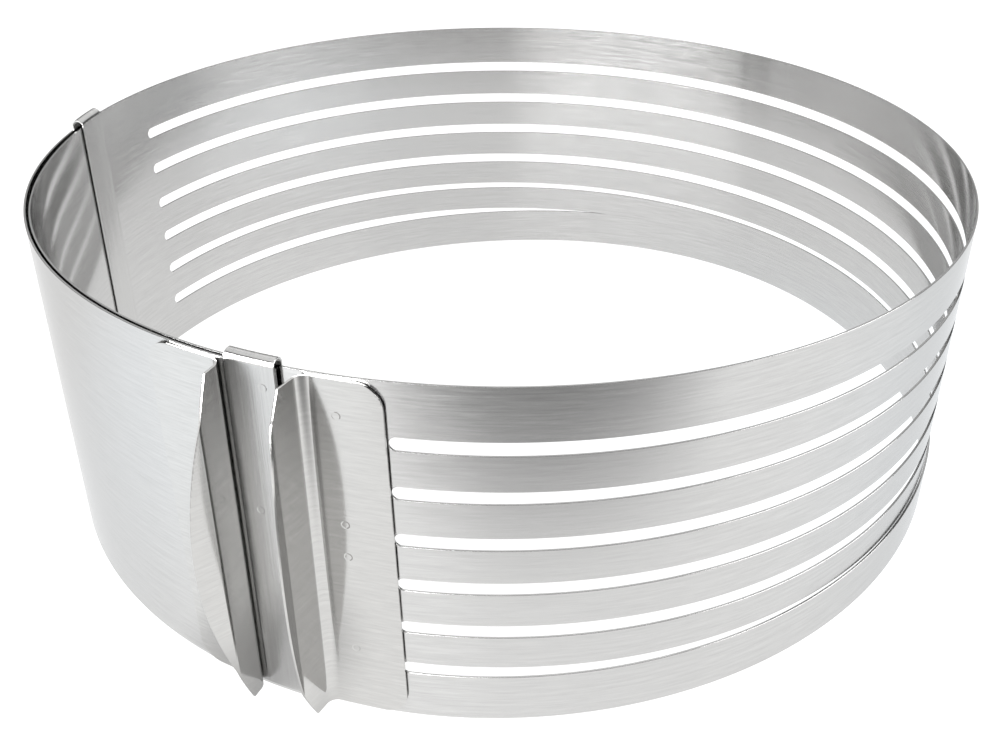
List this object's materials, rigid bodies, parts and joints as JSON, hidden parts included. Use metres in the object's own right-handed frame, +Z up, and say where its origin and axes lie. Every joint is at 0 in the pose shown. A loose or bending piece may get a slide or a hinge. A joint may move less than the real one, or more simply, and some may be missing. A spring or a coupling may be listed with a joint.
{
  "type": "cake slicing ring",
  "caption": "Round adjustable cake ring of thin steel band with knife slots round its wall, overlapping clipped ends and a pair of finger handles.",
  "frame": {"origin": "on the ring's axis in the plane that it stands on", "axes": "+Z up along the ring's axis, -Y from the axis to the clip between the handles"},
  "size_m": [0.241, 0.2569, 0.0866],
  "materials": {
    "band": "brushed along the strip",
    "clip": "satin",
    "handle": "bright satin"
  },
  "bodies": {
    "outer_end": {"band_outer_end": "band", "outer_clip": "clip", "left_handle": "handle"},
    "plain_1": {"band_plain_1": "band"},
    "plain_2": {"band_plain_2": "band"},
    "plain_3": {"band_plain_3": "band"},
    "plain_4": {"band_plain_4": "band"},
    "slotted_01": {"band_slotted_01": "band"},
    "slotted_02": {"band_slotted_02": "band"},
    "slotted_03": {"band_slotted_03": "band"},
    "slotted_04": {"band_slotted_04": "band"},
    "slotted_05": {"band_slotted_05": "band"},
    "slotted_06": {"band_slotted_06": "band"},
    "slotted_07": {"band_slotted_07": "band"},
    "slotted_08": {"band_slotted_08": "band"},
    "slotted_09": {"band_slotted_09": "band"},
    "slotted_10": {"band_slotted_10": "band"},
    "slotted_11": {"band_slotted_11": "band"},
    "slotted_12": {"band_slotted_12": "band"},
    "handle_seat": {"band_handle_seat": "band", "right_handle": "handle"},
    "tail_1": {"band_tail_1": "band"},
    "tail_2": {"band_tail_2": "band"},
    "tail_3": {"band_tail_3": "band"},
    "inner_end": {"band_inner_end": "band", "inner_clip": "clip"}
  },
  "joints": [
    {"name": "flex_outer_end", "type": "hinge", "parent": "plain_1", "child": "outer_end", "pos_m": [-0.02545, -0.11836, 0], "axis": [0, 0, -1], "range_deg": [0, 2.48]},
    {"name": "flex_plain_1", "type": "hinge", "parent": "plain_2", "child": "plain_1", "pos_m": [-0.06443, -0.10242, 0], "axis": [0, 0, -1], "range_deg": [0, 2.85]},
    {"name": "flex_plain_2", "type": "hinge", "parent": "plain_3", "child": "plain_2", "pos_m": [-0.09558, -0.07409, 0], "axis": [0, 0, -1], "range_deg": [0, 2.85]},
    {"name": "flex_plain_3", "type": "hinge", "parent": "plain_4", "child": "plain_3", "pos_m": [-0.11513, -0.0368, 0], "axis": [0, 0, -1], "range_deg": [0, 2.86]},
    {"name": "flex_plain_4", "type": "hinge", "parent": "slotted_01", "child": "plain_4", "pos_m": [-0.12071, 0.00494, 0], "axis": [0, 0, -1], "range_deg": [0, 2.94]},
    {"name": "flex_slotted_01", "type": "hinge", "parent": "slotted_02", "child": "slotted_01", "pos_m": [-0.11076, 0.04806, 0], "axis": [0, 0, -1], "range_deg": [0, 3.01]},
    {"name": "flex_slotted_02", "type": "hinge", "parent": "slotted_03", "child": "slotted_02", "pos_m": [-0.08596, 0.08469, 0], "axis": [0, 0, -1], "range_deg": [0, 3.02]},
    {"name": "flex_slotted_03", "type": "hinge", "parent": "slotted_04", "child": "slotted_03", "pos_m": [-0.04961, 0.10992, 0], "axis": [0, 0, -1], "range_deg": [0, 3.02]},
    {"name": "ring_opening", "type": "hinge", "parent": "slotted_04", "child": "slotted_05", "pos_m": [-0.00661, 0.12034, 0], "axis": [0, 0, 1], "range_deg": [0, 3.03]},
    {"name": "flex_slotted_06", "type": "hinge", "parent": "slotted_05", "child": "slotted_06", "pos_m": [0.03725, 0.11454, 0], "axis": [0, 0, 1], "range_deg": [0, 3.03]},
    {"name": "flex_slotted_07", "type": "hinge", "parent": "slotted_06", "child": "slotted_07", "pos_m": [0.07606, 0.09329, 0], "axis": [0, 0, 1], "range_deg": [0, 3.04]},
    {"name": "flex_slotted_08", "type": "hinge", "parent": "slotted_07", "child": "slotted_08", "pos_m": [0.10456, 0.05945, 0], "axis": [0, 0, 1], "range_deg": [0, 3.04]},
    {"name": "flex_slotted_09", "type": "hinge", "parent": "slotted_08", "child": "slotted_09", "pos_m": [0.1189, 0.0176, 0], "axis": [0, 0, 1], "range_deg": [0, 3.05]},
    {"name": "flex_slotted_10", "type": "hinge", "parent": "slotted_09", "child": "slotted_10", "pos_m": [0.11713, -0.02661, 0], "axis": [0, 0, 1], "range_deg": [0, 3.05]},
    {"name": "flex_slotted_11", "type": "hinge", "parent": "slotted_10", "child": "slotted_11", "pos_m": [0.09947, -0.06717, 0], "axis": [0, 0, 1], "range_deg": [0, 3.06]},
    {"name": "flex_slotted_12", "type": "hinge", "parent": "slotted_11", "child": "slotted_12", "pos_m": [0.06831, -0.09859, 0], "axis": [0, 0, 1], "range_deg": [0, 3.06]},
    {"name": "flex_handle_seat", "type": "hinge", "parent": "slotted_12", "child": "handle_seat", "pos_m": [0.02789, -0.11657, 0], "axis": [0, 0, 1], "range_deg": [0, 2.31]},
    {"name": "flex_tail_1", "type": "hinge", "parent": "handle_seat", "child": "tail_1", "pos_m": [0.00575, -0.11969, 0], "axis": [0, 0, 1], "range_deg": [0, 2.28]},
    {"name": "flex_tail_2", "type": "hinge", "parent": "tail_1", "child": "tail_2", "pos_m": [-0.03722, -0.11382, 0], "axis": [0, 0, 1], "range_deg": [0, 3.02]},
    {"name": "flex_tail_3", "type": "hinge", "parent": "tail_2", "child": "tail_3", "pos_m": [-0.07528, -0.09304, 0], "axis": [0, 0, 1], "range_deg": [0, 3.02]},
    {"name": "flex_inner_end", "type": "hinge", "parent": "tail_3", "child": "inner_end", "pos_m": [-0.10344, -0.06006, 0], "axis": [0, 0, 1], "range_deg": [0, 3.02]}
  ],
  "couplings": [
    {"joint": "flex_outer_end", "follows": "ring_opening", "ratio": 0.81757},
    {"joint": "flex_plain_1", "follows": "ring_opening", "ratio": 0.94055},
    {"joint": "flex_plain_2", "follows": "ring_opening", "ratio": 0.94202},
    {"joint": "flex_plain_3", "follows": "ring_opening", "ratio": 0.94349},
    {"joint": "flex_plain_4", "follows": "ring_opening", "ratio": 0.96923},
    {"joint": "flex_slotted_01", "follows": "ring_opening", "ratio": 0.99508},
    {"joint": "flex_slotted_02", "follows": "ring_opening", "ratio": 0.99672},
    {"joint": "flex_slotted_03", "follows": "ring_opening", "ratio": 0.99836},
    {"joint": "flex_slotted_06", "follows": "ring_opening", "ratio": 1.0016},
    {"joint": "flex_slotted_07", "follows": "ring_opening", "ratio": 1.0033},
    {"joint": "flex_slotted_08", "follows": "ring_opening", "ratio": 1.0049},
    {"joint": "flex_slotted_09", "follows": "ring_opening", "ratio": 1.0066},
    {"joint": "flex_slotted_10", "follows": "ring_opening", "ratio": 1.0083},
    {"joint": "flex_slotted_11", "follows": "ring_opening", "ratio": 1.0099},
    {"joint": "flex_slotted_12", "follows": "ring_opening", "ratio": 1.0116},
    {"joint": "flex_handle_seat", "follows": "ring_opening", "ratio": 0.76147},
    {"joint": "flex_tail_1", "follows": "ring_opening", "ratio": 0.75226},
    {"joint": "flex_tail_2", "follows": "ring_opening", "ratio": 0.99541},
    {"joint": "flex_tail_3", "follows": "ring_opening", "ratio": 0.99702},
    {"joint": "flex_inner_end", "follows": "ring_opening", "ratio": 0.99863}
  ]
}
